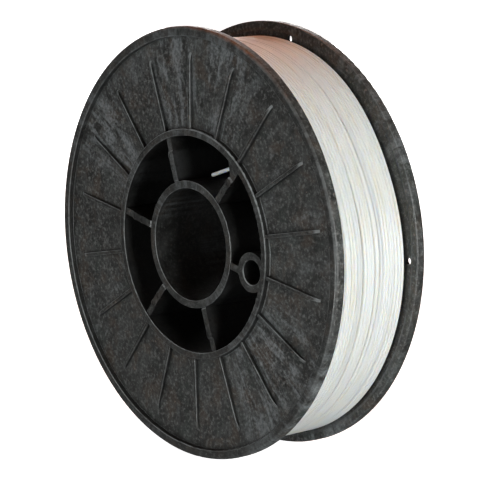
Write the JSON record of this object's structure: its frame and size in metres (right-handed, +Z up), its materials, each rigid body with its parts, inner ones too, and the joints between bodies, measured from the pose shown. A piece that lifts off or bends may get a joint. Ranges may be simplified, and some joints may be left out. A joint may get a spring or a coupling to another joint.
{
  "type": "filament spool",
  "caption": "Moulded plastic spool with ribbed flanges, a spoked hub and an offset driving hole, wound with printing filament.",
  "frame": {"origin": "middle of the bore, halfway between the two flanges", "axes": "+Z up, Y along the bore, with the front flange facing -Y; X to the right when seen from the front"},
  "size_m": [0.2, 0.053, 0.2],
  "materials": {
    "spool_plastic": "satin, streaky recycled grey",
    "filament": "semi-gloss"
  },
  "bodies": {
    "root": {"front_half": "spool_plastic", "rear_half": "spool_plastic", "filament_winding": "filament", "filament_start_end": "filament", "filament_outer_end": "filament"}
  },
  "joints": []
}
